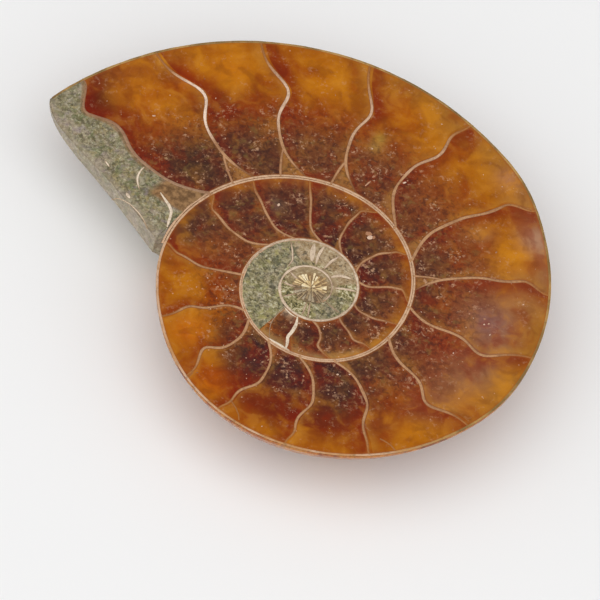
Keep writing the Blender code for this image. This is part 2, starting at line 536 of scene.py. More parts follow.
# %% Lay a stretch of chambers
FILL_TOP = FACE + 0.010 * MM
EDGE_SINK = 0.016 * MM
COLUMNS_PER_CHAMBER = 24
ROWS = 44
CHAMBER_PITCH = 24.0
OLD_FROM = 13.9
# Septa with a second foot, how many degrees off it stands, and where it leaves the septum.
BRACED = (1, 2, 3, 6)
BRACE_REACH = 3.6
BRACE_TOP = 0.20
WEDGE_TINT = (166, 112, 56)


def foot_wedge(along, across, angle):
    """1 in the pale corner where a septum's foot spreads along the inner wall, else 0."""
    after = np.clip(np.floor(along).astype(int) + 1, 0, len(SEPTA) - 1)
    rows = np.array(SEPTA)[after].T
    foot = np.maximum(rows[4], 0.0) + BRACE_REACH * np.isin(after, BRACED)
    reach = foot * np.clip(1.0 - across / FOOT_HEIGHT, 0.0, 1.0) ** 1.8
    apart = angle - septum_angle(rows, across)
    return smooth_step((reach - apart) / 2.4) * (foot > 0.0)


def chamber_fill(name, first, last):
    """The calcite fill of the chambers between two septa, as one closed slab."""
    piece = unit_grid(name, (last - first) * COLUMNS_PER_CHAMBER, ROWS)
    spots = places(piece)
    along = first + (last - first) * (spots[:, 0] + 0.5)
    across = spots[:, 1] + 0.5
    angle = chamber_angle(along, across)
    x, y, width = whorl_place(angle, across)
    in_chamber = along - np.clip(np.floor(along), first, last - 1)
    pitch = coil_radius(angle) * math.radians(CHAMBER_PITCH)
    edge = np.minimum(np.minimum(in_chamber, 1.0 - in_chamber) * pitch,
                      np.minimum(across, 1.0 - across) * width)
    sink = EDGE_SINK * np.exp(-edge / (0.15 * MM))
    wave = 0.004 * MM * ripple(x, y, 2.5 * MM, 1)
    move_to(piece, x, y, FILL_TOP - sink + wave)
    young = smooth_step((0.72 - across) / 0.46)
    old = smooth_step((0.99 - across) / 0.22)
    deep = young + (old - young) * smooth_step(along - OLD_FROM)
    keep(piece, "coil", in_chamber, deep, edge / MM)
    tint = add_glows(chamber_tint(along, across), x, y)
    wedge = 0.65 * foot_wedge(along, across, angle)[:, None]
    tint += (np.array(tone(*WEDGE_TINT)[:3]) - tint) * wedge
    keep(piece, "tint", *tint.T)
    close_below(piece)
    return piece


outer_chambers = chamber_fill("outer_chambers", 0, 15)
inner_chambers = chamber_fill("inner_chambers", 15, 25)
print("outer chambers:", len(outer_chambers.data.polygons), "faces")

# %% [markdown]
# The finish of this calcite has three scales. Blotches of some millimetres shift it between
# dark and bright, crystals of half a millimetre break the colour up, most of all towards
# the inner wall, and small pale flecks catch the light. Each chamber is also darker and
# redder along one of its septa, partly its own red and partly painted shade beside that
# septum, and paler along the other.

# %% The finish of the chambers
def calcite_finish(name):
    finish = Finish(name, Roughness=0.2, Specular_IOR_Level=0.14)
    place = finish.spot()
    coil = finish.stored("coil")
    in_chamber = coil.part("X")
    deep = coil.part("Y")
    edge = coil.part("Z")
    base = finish.stored("tint", "Color")

    blotch = place.cloud(3.2 * MM, 3.0, 0.5, 0.5)
    base = base.mixed(blotch.step(0.50, 0.70) * (0.45 - deep * 0.40), (206, 132, 22))
    base = base.mixed(blotch.step(0.50, 0.32) * 0.45, (132, 36, 4))
    # Darker red along one septum: partly the calcite's own red, partly painted shade beside the septum.
    base = base.mixed(in_chamber.step(0.30, 0.02) * (0.74 - deep * 0.3), (122, 26, 6))
    base = base.mixed(in_chamber.step(0.84, 0.98) * (0.35 - deep * 0.15), (180, 124, 48))

    cloudy = place.cloud(1.9 * MM, 4.0, 0.5, 0.6)
    base = base.mixed(cloudy.step(0.50, 0.32) * 0.30, (92, 26, 12))
    base = base.mixed(cloudy.step(0.50, 0.70) * (0.26 - deep * 0.12), (206, 138, 46))
    crystal = place.cloud(0.55 * MM, 4.0, 0.65, 0.6)
    base = base.mixed(crystal.step(0.52, 0.36) * (0.05 + deep * 0.48), (46, 26, 28))
    base = base.mixed(crystal.step(0.54, 0.68) * (0.10 + deep * 0.26), (168, 120, 82))

    clump = place.cloud(1.5 * MM, 3.0, 0.6)
    spark = place.cloud(0.36 * MM, 3.0, 0.7)
    clumped = clump.step(0.50, 0.64) * spark.step(0.52, 0.64)
    base = base.mixed(clumped * (0.20 + deep * 0.44), (204, 160, 126))
    olive = place.cloud(0.9 * MM, 3.0, 0.6)
    base = base.mixed(olive.step(0.56, 0.72) * deep * 0.45, (128, 100, 54))
    base = base.mixed(edge.step(0.30, 0.10) * 0.4, (158, 88, 34))

    fleck_size = place.cells(0.55 * MM)
    fleck_pick = place.cells(0.55 * MM, output="Color").part("X")
    chosen = (fleck_pick + deep * 0.10).step(0.95, 0.97)
    fleck = fleck_size.step(0.20, 0.07) * chosen
    base = base.mixed(fleck * 0.5, (222, 176, 144))
    finish.feed("Roughness", 0.14 + crystal * 0.16)
    return finish.done(base, crystal * 0.3 + fleck, 0.006 * MM)


chamber_calcite = calcite_finish("chamber_calcite")
dress(chamber_calcite, 35.0, outer_chambers, inner_chambers)
print("finish:", chamber_calcite.name)

# %% [markdown]
# ## Septa and whorl walls
# A septum is a line of pinkish calcite about a third of a millimetre wide. As by hand, each
# one is drawn as a curve with a round bevel, the curves become a mesh, and the tubes are
# pressed flat into the face so that they stand only a few hundredths of a millimetre proud.

# %% Draw lines on the face
LINE_BASE = FACE + 0.006 * MM
LINE_FLATTEN = 0.16


def line_piece(name, lines):
    """Closed, flattened tubes along lines of (x, y, half width) on the face."""
    curve = bpy.data.curves.new(name, "CURVE")
    curve.dimensions = "3D"
    curve.bevel_depth = 1.0
    curve.bevel_resolution = 2
    curve.use_fill_caps = True
    for line in lines:
        spline = curve.splines.new("POLY")
        spline.points.add(len(line) - 1)
        for point, (x, y, half_width) in zip(spline.points, line):
            point.co = (x, y, FACE, 1.0)
            point.radius = half_width
    drawn = bpy.data.objects.new(name, curve)
    bpy.context.collection.objects.link(drawn)
    only(drawn)
    bpy.ops.object.convert(target="MESH")
    piece = bpy.context.active_object
    spots = places(piece)
    x, y = spots[:, 0], spots[:, 1]
    move_to(piece, x, y, LINE_BASE + (spots[:, 2] - FACE) * LINE_FLATTEN)
    angle, radius = coil_place(x, y)
    inner = coil_radius(angle - 360.0)
    rise = np.clip((radius - inner) / (coil_radius(angle) - inner), 0.0, 1.0)
    keep(piece, "line", rise, angle / 360.0, (places(piece)[:, 2] - LINE_BASE) / MM)
    open_mesh(piece)
    close_mesh()
    return piece


def traced(angle, across, half_width):
    """A line through coil angles and shares across, its width wandering a little."""
    x, y, _ = whorl_place(np.asarray(angle, float), np.asarray(across, float))
    widths = half_width * (1.0 + 0.22 * ripple(x, y, 1.1 * MM, 2))
    return list(zip(x, y, widths))


# The last two rows are drawn later: the white septum and the first one of the core.
FINE_SEPTA = len(SEPTA) - 2
# Three septa fork near the outer edge: coil angles, shares across, half width in mm.
FORKS = (
    ((-206.9, -205.6, -204.6, -204.2), (0.85, 0.89, 0.94, 0.99), 0.09),
    ((-275.6, -274.4, -274.2), (0.88, 0.93, 0.99), 0.08),
    ((-257.7, -254.8, -252.9, -252.0), (0.83, 0.87, 0.92, 0.97), 0.09),
)
# The septa that catch the light, and how much.
LIT_SEPTA = ((1, 1.0), (2, 0.5), (3, 0.3), (4, 0.2))


def septum_line(index):
    """One septum, from its foot to the outer edge, where it thins."""
    across = np.linspace(-0.02, 1.01, 46)
    half_width = (0.182 - 0.0024 * index) * MM
    taper = 1.0 - 0.40 * smooth_step((across - 0.72) / 0.28)
    if index in BRACED:
        taper = taper * (0.4 + 0.6 * smooth_step(across / (0.8 * BRACE_TOP)))
    return traced(septum_angle(SEPTA[index], across), across, half_width * taper)


def brace_line(index):
    """The second foot of a septum, on its other side."""
    across = np.linspace(BRACE_TOP, -0.01, 18)
    spread = BRACE_REACH * ((BRACE_TOP - across) / BRACE_TOP) ** 0.8
    return traced(septum_angle(SEPTA[index], BRACE_TOP) + spread, across, 0.14 * MM)


septa_lines = [septum_line(index) for index in range(FINE_SEPTA)]
septa_lines += [brace_line(index) for index in BRACED]
septa_lines += [traced(angles, heights, half_width * MM) for angles, heights, half_width in FORKS]
septa = line_piece("septa", septa_lines)


def mark_lit(piece):
    """Keep how much a septum catches the light, and whether it is the one beside the stone."""
    angle, radius = coil_place(*places(piece).T[:2])
    inner = coil_radius(angle - 360.0)
    rise = (radius - inner) / (coil_radius(angle) - inner)
    lit = np.zeros(len(rise))
    for index, share in LIT_SEPTA:
        apart = (angle - septum_angle(SEPTA[index], rise)) / 2.5
        lit += share * np.exp(-(apart ** 2))
    lit *= smooth_step((rise - 0.28) / 0.16) * smooth_step((0.88 - rise) / 0.22)
    stony = (angle - septum_angle(SEPTA[0], rise)) / 2.5
    keep(piece, "lit", lit, np.exp(-(stony ** 2)), rise)


mark_lit(septa)
print(len(septa_lines), "septa, braces and forks,", len(septa.data.polygons), "faces")

# %% [markdown]
# The wall between two whorls shows as two fine cream lines with brown between them. Both
# follow the spiral, one on either side of it, down to the first whorls.

# %% The double wall
WALL_START = -333.0
WALL_END = -1290.0


def wall_line(side, half_width):
    """One side of the wall between whorls."""
    angles = np.linspace(WALL_START, WALL_END, 560)
    radius = coil_radius(angles)
    radius = radius + side * wall_half(radius) * 0.80
    x, y = on_face(radius, angles)
    size = (radius / coil_radius(-360.0)) ** 0.30
    widths = half_width * size * (1.0 + 0.25 * ripple(x, y, 0.9 * MM, 3))
    return list(zip(x, y, widths))


whorl_walls = line_piece("whorl_walls", [wall_line(1.0, 0.12 * MM), wall_line(-1.0, 0.11 * MM)])
print("whorl walls:", len(whorl_walls.data.polygons), "faces")

# %% [markdown]
# ## The rim
# All round the free edge the shell itself is cut through, as one thin line. It is dark and
# olive along the far edge, and pinkish white where the light comes through from behind.

# %% The cut edge of the shell
def rim_line():
    angles = np.linspace(3.6, FREE_EDGE_ENDS, 420)
    x, y = on_face(coil_radius(angles) - 0.11 * MM, angles)
    widths = (0.12 + 0.03 * ripple(x, y, 1.3 * MM, 4)) * MM
    return list(zip(x, y, widths))


rim = line_piece("shell_rim", [rim_line()])
print("rim:", len(rim.data.polygons), "faces")

# %% [markdown]
# A line has a pale crest and darker flanks, and it fades a little towards the outer edge.

# %% The finishes of the lines
def line_finish(name, crest, flank, warm, faded, crest_height):
    """A pale crest between darker flanks, warmer towards the outer edge."""
    finish = Finish(name, Roughness=0.3, Specular_IOR_Level=0.25)
    place = finish.spot()
    line = finish.stored("line")
    rise = line.part("X")
    height = line.part("Z")
    grain = place.cloud(0.22 * MM, 3.0, 0.7)
    wander = place.cloud(2.4 * MM, 3.0, 0.6)
    crested = height.step(0.3 * crest_height, 0.9 * crest_height)
    base = finish.mix(crested, flank, crest)
    base = base.mixed(rise.step(0.62, 0.98) * faded, warm)
    lit = finish.stored("lit")
    base = base.mixed(lit.part("X") * crested, (246, 220, 198))
    base = base.mixed(lit.part("Y") * 0.65, (146, 118, 98))
    base = base.mixed(wander.step(0.56, 0.36) * 0.35, flank)
    base = base.mixed(grain.step(0.56, 0.34) * 0.35, (104, 66, 46))
    return finish.done(base, grain, 0.008 * MM)


def rim_finish():
    finish = Finish("rim_shell", Roughness=0.4, Specular_IOR_Level=0.3)
    place = finish.spot()
    turn = finish.stored("line").part("Y")
    grain = place.cloud(0.5 * MM, 4.0, 0.7)
    wander = place.cloud(3.0 * MM, 3.0, 0.6)
    far = finish.mix(wander.step(0.40, 0.62), (132, 102, 54), (178, 138, 78))
    near = finish.mix(wander.step(0.40, 0.62), (206, 168, 136), (190, 140, 92))
    base = far.mixed(turn.step(-0.50, -0.60), near)
    base = base.mixed(grain.step(0.52, 0.32) * 0.4, (84, 60, 34))
    return finish.done(base, grain, 0.015 * MM)


pinkish = line_finish("septum_calcite", (190, 144, 104), (126, 76, 42), (172, 108, 44), 0.75, 0.026)
creamy = line_finish("wall_shell", (212, 174, 140), (158, 114, 80), (212, 174, 140), 0.0, 0.014)
dress(pinkish, 60.0, septa)
dress(creamy, 60.0, whorl_walls)
dress(rim_finish(), 60.0, rim)
print("line finishes done")

# %% [markdown]
# ## The sandstone in the open end
# The last chamber, where the animal lived, never grew calcite. Mud and sand filled it, and
# it is broken off almost straight, with a blunt tip. Its grid runs from the break to the
# last septum. Brown calcite shows only as a band along that septum and in its lower corner.

# %% Sandstone of the mouth
BREAK_OUTER_ANGLE = 4.0
BREAK_INNER_ANGLE = 25.6
BREAK_INNER_RADIUS = 16.3 * MM
BREAK_BULGE = 1.0 * MM
BREAK_BULGE_AT = 0.19
BREAK_BULGE_RISE = 0.8
STONE_TOP = FACE + 0.020 * MM


def break_edge(share):
    """Coil angle and radius along the break, from its outer end (0) to its inner end (1)."""
    x1, y1 = on_face(coil_radius(BREAK_OUTER_ANGLE), BREAK_OUTER_ANGLE)
    x2, y2 = on_face(BREAK_INNER_RADIUS, BREAK_INNER_ANGLE)
    length = math.hypot(x2 - x1, y2 - y1)
    share = np.clip(share, 0.0, 1.0)
    fall = BREAK_BULGE_RISE * (1.0 - BREAK_BULGE_AT) / BREAK_BULGE_AT
    bulge = BREAK_BULGE * (share / BREAK_BULGE_AT) ** BREAK_BULGE_RISE
    bulge = bulge * ((1.0 - share) / (1.0 - BREAK_BULGE_AT)) ** fall
    x = x1 + (x2 - x1) * share + bulge * (y2 - y1) / length - COIL_CENTRE.x
    y = y1 + (y2 - y1) * share - bulge * (x2 - x1) / length - COIL_CENTRE.y
    angle = np.degrees(np.arctan2(y, x)) - START_DIRECTION
    return (angle + 180.0) % 360.0 - 180.0, np.hypot(x, y)


def mouth_fill():
    """Sandstone from the break (along 0) to the last septum (along 1)."""
    piece = unit_grid("mouth_sandstone", 120, 130)
    spots = places(piece)
    along = spots[:, 0] + 0.5
    across = spots[:, 1] + 0.5
    angle_a, radius_a = break_edge(1.0 - across)
    angle_b = septum_angle(SEPTA[0], across)
    x_b, y_b, _ = whorl_place(angle_b, across)
    _, radius_b = coil_place(x_b, y_b)
    inside = 1.0 - 0.006 * (1.0 - along)
    angle = angle_a + (angle_b - angle_a) * along
    straight = (radius_a * inside) ** (1.0 - along) * radius_b ** along
    inner = coil_radius(angle - 360.0)
    inner = inner + wall_half(inner)
    outer = coil_radius(angle) - RIM_WIDTH
    followed = inner + (outer - inner) * across
    radius = straight + (followed - straight) * smooth_step(along * 2.0)
    radius = np.clip(radius, None, outer)
    x, y = on_face(radius, angle)
    grit = 0.012 * MM * ripple(x, y, 0.35 * MM, 5) + 0.010 * MM * ripple(x, y, 1.6 * MM, 6)
    move_to(piece, x, y, STONE_TOP + grit)
    corner = smooth_step((0.24 - across) / 0.05) * smooth_step((11.5 - angle) / 2.0)
    band = smooth_step((along - 0.86) / 0.06) * smooth_step((across - 0.25) / 0.10)
    keep(piece, "sand", 1.0 - np.maximum(corner, 0.7 * band), along, across)
    close_below(piece)
    return piece


mouth = mouth_fill()
print("mouth:", len(mouth.data.polygons), "faces")

# %% [markdown]
# Thin veins of white calcite run through this stone: a hook, a crack that crosses to the
# break, and the cut end of the whorl before, where its shell is free.

# %% Veins in the stone
VEINS = (
    ((4.0, 5.2, 6.9, 8.4, 9.6, 11.0), (0.345, 0.345, 0.335, 0.32, 0.30, 0.27), 0.11),
    ((18.4, 17.2, 16.9, 17.2, 18.6, 20.6, 23.4), (0.35, 0.33, 0.30, 0.25, 0.19, 0.14, 0.10), 0.07),
    ((8.2, 9.6, 10.8, 12.4, 14.6, 17.0, 19.5), (0.17, 0.12, 0.08, 0.05, 0.035, 0.025, 0.015), 0.17),
    ((14.3, 14.9, 15.4), (0.31, 0.29, 0.275), 0.16),
    ((9.0, 9.8), (0.52, 0.48), 0.09),
)


def vein_line(angles, heights, half_width):
    """A vein through a few points of the mouth, smoothed, and thin at both ends."""
    knots = np.arange(len(angles))
    steps = np.linspace(0.0, knots[-1], 6 * len(angles))
    angle = np.interp(steps, knots, angles)
    across = np.interp(steps, knots, heights)
    soft = np.array([0.25, 0.5, 0.25])
    for _ in range(3):
        angle[1:-1] = np.convolve(angle, soft, "valid")
        across[1:-1] = np.convolve(across, soft, "valid")
    ends = np.sin(math.pi * (steps / knots[-1] * 0.9 + 0.05)) ** 0.5
    return traced(angle, across, half_width * MM * ends)


veins = line_piece("calcite_veins", [vein_line(*vein) for vein in VEINS])
raise_by(veins, 0.018 * MM)
print(len(VEINS), "veins")

# %% [markdown]
# ## The core
# The first whorls are tiny. Sand filled part of them, and pale crystals grew in the rest, as
# a rosette at the very middle. One disc carries the core up to the whorl that the last
# brown chamber ends at.

# %% Disc of the core
CORE_START = -632.0


def core_fill():
    piece = unit_grid("core_stone", 260, 60)
    spots = places(piece)
    angle = CORE_START - 360.0 * (spots[:, 0] + 0.5)
    share = np.clip(spots[:, 1] + 0.5, 0.004, 1.0)
    edge = coil_radius(angle)
    radius = (edge - wall_half(edge)) * share
    x, y = on_face(radius, angle)
    grit = 0.010 * MM * ripple(x, y, 0.3 * MM, 7) + 0.008 * MM * ripple(x, y, 1.2 * MM, 8)
    move_to(piece, x, y, STONE_TOP - 0.004 * MM + grit)
    whorl, _ = coil_place(x, y)
    inner = coil_radius(whorl - 360.0)
    across = (radius - inner) / (coil_radius(whorl) - inner)
    sand = smooth_step((whorl + 768.0) / 10.0)
    sand = np.maximum(sand, smooth_step((-872.0 - whorl) / 8.0) * smooth_step((whorl + 950.0) / 8.0))
    pale = smooth_step((-746.0 - whorl) / 6.0) * smooth_step((whorl + 850.0) / 6.0)
    keep(piece, "sand", sand, pale * smooth_step(across * 3.0), radius / MM)
    close_below(piece)
    return piece


core = core_fill()
print("core:", len(core.data.polygons), "faces")

# %% Septa and wall of the innermost whorls
CORE_SEPTA = (
    ((-632.0, -634.0, -630.0, -621.0), (0.02, 0.10, 0.6, 1.0), 0.05),
    ((-723.8, -738.8, -745.0, -748.0), (0.10, 0.26, 0.59, 0.98), 0.10),
    ((-770.0, -770.6, -772.0), (0.20, 0.55, 0.90), 0.27),
    ((-778.0, -779.0, -783.0), (0.12, 0.5, 0.95), 0.17),
    ((-797.0, -799.0, -804.0), (0.08, 0.5, 0.98), 0.15),
    ((-822.0, -826.0, -838.0), (0.05, 0.35, 0.80), 0.20),
    ((-853.0, -855.0, -858.0), (0.05, 0.5, 0.98), 0.13),
    ((-952.0, -954.0), (0.05, 0.95), 0.09), ((-962.0, -964.0), (0.05, 0.95), 0.08),
    ((-1038.0, -1048.0), (0.05, 0.95), 0.11), ((-1072.0, -1078.0), (0.05, 0.95), 0.12),
    ((-1010.0, -1014.0), (0.05, 0.95), 0.07), ((-905.0, -902.0), (0.05, 0.9), 0.06),
)


def core_wall_line():
    """The wall between the innermost whorls, thin at both ends."""
    angles = np.linspace(-690.0, -1260.0, 300)
    x, y = on_face(coil_radius(angles), angles)
    widths = (0.14 + 0.07 * ripple(x, y, 0.8 * MM, 9)) * MM
    widths = widths * np.interp(angles, [-1260.0, -1080.0, -960.0, -690.0], [0.5, 1.1, 1.1, 0.6])
    return list(zip(x, y, widths))


core_septa = line_piece("core_septa", [vein_line(*row) for row in CORE_SEPTA] + [core_wall_line()])
raise_by(core_septa, 0.022 * MM)
print(len(CORE_SEPTA), "small septa")

# %% [markdown]
# The last brown chamber is closed by a thick white septum, and white calcite fills the
# corner behind it: two short thick lines.

# %% The white septum
WHITE_ROWS = (
    ((-609.0, -606.5, -607.5, -609.5, -607.5, -607.0), (0.02, 0.22, 0.45, 0.65, 0.82, 1.0), 0.18),
    ((-604.0, -612.0, -622.0), (0.985, 0.965, 0.99), 0.13),
    ((-609.0, -620.0, -636.0), (0.05, 0.06, 0.04), 0.10),
)
white_septum = line_piece("white_septum", [vein_line(*row) for row in WHITE_ROWS])
raise_by(white_septum, 0.010 * MM)
print("white septum ready")

# %% [markdown]
# ## Crystals
# The rosette is made of pointed crystals laid side by side, all from the middle outwards.
# One is modelled as a six-sided cone lying down, and copied with its own mesh each time.
# The same way, one round grain is copied into flecks all over the chambers.

# %% Copy one crystal many times
def low_crystal():
    """A pointed crystal one unit long, lying along x."""
    deselect()
    bpy.ops.mesh.primitive_cone_add(vertices=6, radius1=0.5, radius2=0.14, depth=1.0)
    piece = bpy.context.active_object
    open_mesh(piece)
    bpy.ops.transform.rotate(value=math.radians(90.0), orient_axis="Y", center_override=(0, 0, 0))
    bpy.ops.mesh.bevel(offset=0.10, segments=1, affect="EDGES")
    bpy.ops.object.mode_set(mode="OBJECT")
    return piece


def low_grain():
    """A rounded grain of crystal, one unit across."""
    deselect()
    bpy.ops.mesh.primitive_ico_sphere_add(subdivisions=1, radius=0.5)
    return bpy.context.active_object


def scatter(name, model, settings):
    """Copies of a model: each x, y, z, length, width, height, turn and lift in degrees."""
    copies = []
    for x, y, z, length, width, height, turn, lift in settings:
        copy = model.copy()
        copy.data = model.data.copy()
        bpy.context.collection.objects.link(copy)
        size = Matrix.Diagonal((length, width, height, 1.0))
        tilt = Matrix.Rotation(math.radians(-lift), 4, "Y")
        spin = Matrix.Rotation(math.radians(turn), 4, "Z")
        copy.data.transform(Matrix.Translation((x, y, z)) @ spin @ tilt @ size)
        copy.matrix_world = Matrix.Identity(4)
        keep(copy, "pick", np.full(len(copy.data.vertices), random.random()))
        copies.append(copy)
    bpy.data.objects.remove(model, do_unlink=True)
    deselect()
    for copy in copies:
        copy.select_set(True)
    bpy.context.view_layer.objects.active = copies[0]
    bpy.ops.object.join()
    piece = named(bpy.context.active_object, name)
    open_mesh(piece)
    close_mesh()
    return piece


# %% The rosette
def rosette_settings():
    rows = []
    for ring, count, start, length in ((0, 27, 0.72, 1.2), (1, 17, 0.34, 0.8), (2, 9, 0.10, 0.5)):
        for index in range(count):
            turn = 360.0 * (index + random.uniform(-0.4, 0.4)) / count + 11.0 * ring
            reach = (start + length * random.uniform(0.25, 0.65)) * MM
            x = COIL_CENTRE.x + reach * math.cos(math.radians(turn))
            y = COIL_CENTRE.y + reach * math.sin(math.radians(turn))
            size = length * random.uniform(0.6, 1.05) * MM
            width = random.uniform(0.24, 0.38) * MM
            rows.append((x, y, STONE_TOP + 0.03 * MM, size, width, 0.11 * MM, turn, 1.0))
    return rows


rosette = scatter("core_crystals", low_crystal(), rosette_settings())
print("rosette:", len(rosette.data.polygons), "faces")

# %% [markdown]
# The largest flecks have their own places, as coil angle, share across, length and width in
# millimetres, and turn. The others are strewn at random, more of them by the inner wall.

# %% The flecks
SHOWN_FLECKS = (
    (-71.9, 0.12, 1.05, 0.20, 62.0), (-16.5, 0.09, 0.55, 0.40, 20.0), (-83.0, 0.30, 0.45, 0.22, 40.0),
    (-144.8, 0.56, 0.30, 0.24, 10.0), (-146.4, 0.60, 0.26, 0.20, 70.0), (-147.0, 0.57, 0.22, 0.2, 0.0),
    (-213.8, 0.14, 0.30, 0.22, 30.0), (-232.5, 0.20, 0.28, 0.20, 120.0), (-225.0, 0.45, 0.24, 0.2, 0.0),
    (-260.0, 0.28, 0.24, 0.18, 60.0), (-385.0, 0.62, 0.60, 0.32, 35.0), (-390.0, 0.56, 0.45, 0.3, 80.0),
    (-447.6, 0.60, 0.80, 0.60, 0.0), (-450.0, 0.57, 0.75, 0.55, 40.0), (-451.5, 0.62, 0.5, 0.4, 80.0),
    (-451.0, 0.80, 0.35, 0.25, 15.0), (-476.0, 0.48, 0.25, 0.2, 0.0), (-483.0, 0.46, 0.22, 0.2, 0.0),
    (-486.0, 0.26, 0.28, 0.2, 50.0), (-595.6, 0.60, 0.30, 0.24, 0.0), (-9.0, 0.60, 0.42, 0.2, 15.0),
    (-13.5, 0.45, 0.5, 0.18, -10.0), (-120.0, 0.63, 0.30, 0.2, 70.0), (-112.0, 0.44, 0.3, 0.2, 90.0),
)
STRAY_FLECKS = 230


def fleck_settings():
    rows = []
    for angle, across, length, width, turn in SHOWN_FLECKS:
        x, y, _ = whorl_place(np.array([angle]), np.array([across]))
        rows.append((x[0], y[0], FILL_TOP, length * MM, width * MM, 0.05 * MM, turn, 0.0))
    for _ in range(STRAY_FLECKS):
        along = 24.6 * random.random() ** 0.9
        across = 0.07 + 0.86 * random.random() ** 1.4
        place = np.array([across])
        x, y, _ = whorl_place(chamber_angle(np.array([along]), place), place)
        length = random.uniform(0.07, 0.24) * MM
        width = length * random.uniform(0.3, 0.7)
        rows.append((x[0], y[0], FILL_TOP - 0.003 * MM, length, width, 0.04 * MM,
                     random.uniform(0.0, 180.0), 0.0))
    return rows


flecks = scatter("crystal_flecks", low_grain(), fleck_settings())
print("flecks:", len(flecks.data.polygons), "faces")

# %% [markdown]
# ## The finishes of stone and crystal
# The sandstone is a packing of grains up to half a millimetre across. Each Voronoi
# cell is one grain with its own colour, and the borders between cells are the cement.

# %% The sandstone
def grains_of(finish, place, grain):
    """Grain colours, and the height of the grains, for a given grain size."""
    warp = finish.node("TexNoise", None, {"Vector": place, "Scale": 1200.0}, "Color")
    shift = finish.node("VectorMath", {"operation": "SCALE"}, {0: warp, "Scale": grain * 1.2})
    warped = finish.node("VectorMath", {"operation": "ADD"}, {0: place, 1: shift})
    pick = warped.cells(grain, output="Color").part("X")
    small = warped.cells(0.45 * grain, output="Color").part("X")
    edge = warped.cells(grain, "DISTANCE_TO_EDGE")
    stops = (
        (0.0, (78, 70, 50)), (0.14, (108, 100, 72)), (0.32, (136, 126, 92)),
        (0.48, (124, 122, 88)), (0.62, (150, 138, 108)), (0.76, (136, 118, 88)),
        (0.88, (148, 142, 122)), (0.97, (182, 172, 146)),
    )
    colour = pick.ramp(*stops).mixed(0.5, small.ramp(*stops))
    dust = place.cloud(1.9 * MM, 4.0, 0.65)
    moss = place.cloud(1.2 * MM, 4.0, 0.65, 0.5)
    clay = place.cloud(0.9 * MM, 3.0, 0.6, 0.4)
    fine = place.cloud(0.34 * MM, 3.0, 0.7, 0.5)
    colour = colour.mixed(dust.step(0.48, 0.66) * 0.65, (166, 148, 130))
    colour = colour.mixed(moss.step(0.50, 0.36) * 0.6, (102, 110, 68))
    colour = colour.mixed(clay.step(0.54, 0.70) * 0.55, (146, 130, 134))
    colour = colour.mixed(clay.step(0.46, 0.30) * 0.55, (160, 142, 88))
    colour = colour.mixed(moss.step(0.60, 0.72) * 0.65, (72, 66, 48))
    colour = colour.mixed(fine.step(0.50, 0.36) * 0.6, (64, 58, 42))
    colour = colour.mixed(fine.step(0.56, 0.68) * 0.5, (206, 198, 168))
    return colour, edge * 0.6 + fine * 0.5


def mouth_finish():
    """Sandstone, and brown calcite where the sand value falls to 0."""
    finish = Finish("mouth_sandstone", Roughness=0.5, Specular_IOR_Level=0.25)
    place = finish.spot()
    grains, height = grains_of(finish, place, 0.48 * MM)
    brown = place.cloud(0.7 * MM, 4.0, 0.65)
    calcite = finish.mix(brown.step(0.36, 0.66), (104, 74, 44), (156, 118, 78))
    zones = finish.stored("sand")
    sand = zones.part("X")
    ragged = place.cloud(1.2 * MM, 4.0, 0.65) * 0.5
    by_break = (zones.part("Y") + ragged).step(0.50, 0.22)
    grains = grains.mixed(by_break * 0.35, (170, 152, 136))
    return finish.done(calcite.mixed(sand, grains), height, 0.02 * MM)


def core_finish():
    """Sandstone, cream calcite and brown crystals, by the three numbers kept on the disc."""
    finish = Finish("core_stone", Roughness=0.4, Specular_IOR_Level=0.25)
    place = finish.spot()
    zones = finish.stored("sand")
    sand = zones.part("X")
    pale = zones.part("Y")
    radius = zones.part("Z")
    grains, height = grains_of(finish, place, 0.40 * MM)
    bits = place.cloud(0.36 * MM, 3.0, 0.7, 0.8)
    crystals = bits.ramp(
        (0.36, (74, 70, 46)), (0.46, (124, 116, 72)), (0.54, (160, 146, 104)), (0.66, (216, 208, 176)))
    mist = place.cloud(0.6 * MM, 4.0, 0.65)
    cream = finish.mix(mist.step(0.38, 0.62), (150, 120, 86), (186, 162, 132))
    base = crystals.mixed(sand * 0.6, grains)
    base = base.mixed(pale * 0.8, cream)
    base = base.mixed(bits.step(0.45, 0.37) * 0.6, (58, 54, 40))
    base = base.mixed(bits.step(0.58, 0.68) * 0.40, (210, 204, 176))
    upper = place.part("Y").step(COIL_CENTRE.y - 0.8 * MM, COIL_CENTRE.y + MM)
    collar = radius.step(2.9, 2.6) * upper
    base = base.mixed(collar * 0.6, (164, 136, 106))
    middle = radius.step(2.1, 1.5)
    base = base.mixed(middle * 0.7, (140, 106, 68))
    base = base.mixed((1.0 - upper) * middle * 0.6, (96, 82, 72))
    patches = place.cloud(0.8 * MM, 3.0, 0.6)
    base = base.mixed(patches.step(0.46, 0.36) * sand * 0.6, (70, 72, 60))
    base = base.mixed(patches.step(0.56, 0.66) * sand * 0.5, (176, 166, 104))
    return finish.done(base, height + bits * 0.5, 0.02 * MM)


dress(mouth_finish(), 60.0, mouth)
dress(core_finish(), 60.0, core)
print("sandstone done")

# %% The crystals
def crystal_finish(name, dark, middle, light, shaded):
    """Crystals whose tone comes from each one's own random number."""
    finish = Finish(name, Roughness=0.18, Specular_IOR_Level=0.4, Coat_Weight=0.2)
    place = finish.spot()
    pick = finish.stored("pick", "Fac")
    base = pick.ramp((0.0, dark), (0.5, middle), (1.0, light))
    grain = place.cloud(0.14 * MM, 3.0, 0.7)
    base = base.mixed(grain.step(0.55, 0.35) * 0.3, dark)
    near = place.part("Y").step(COIL_CENTRE.y + 0.2 * MM, COIL_CENTRE.y - 0.6 * MM)
    base = base.mixed(near * shaded, (112, 92, 78))
    return finish.done(base, grain, 0.01 * MM)


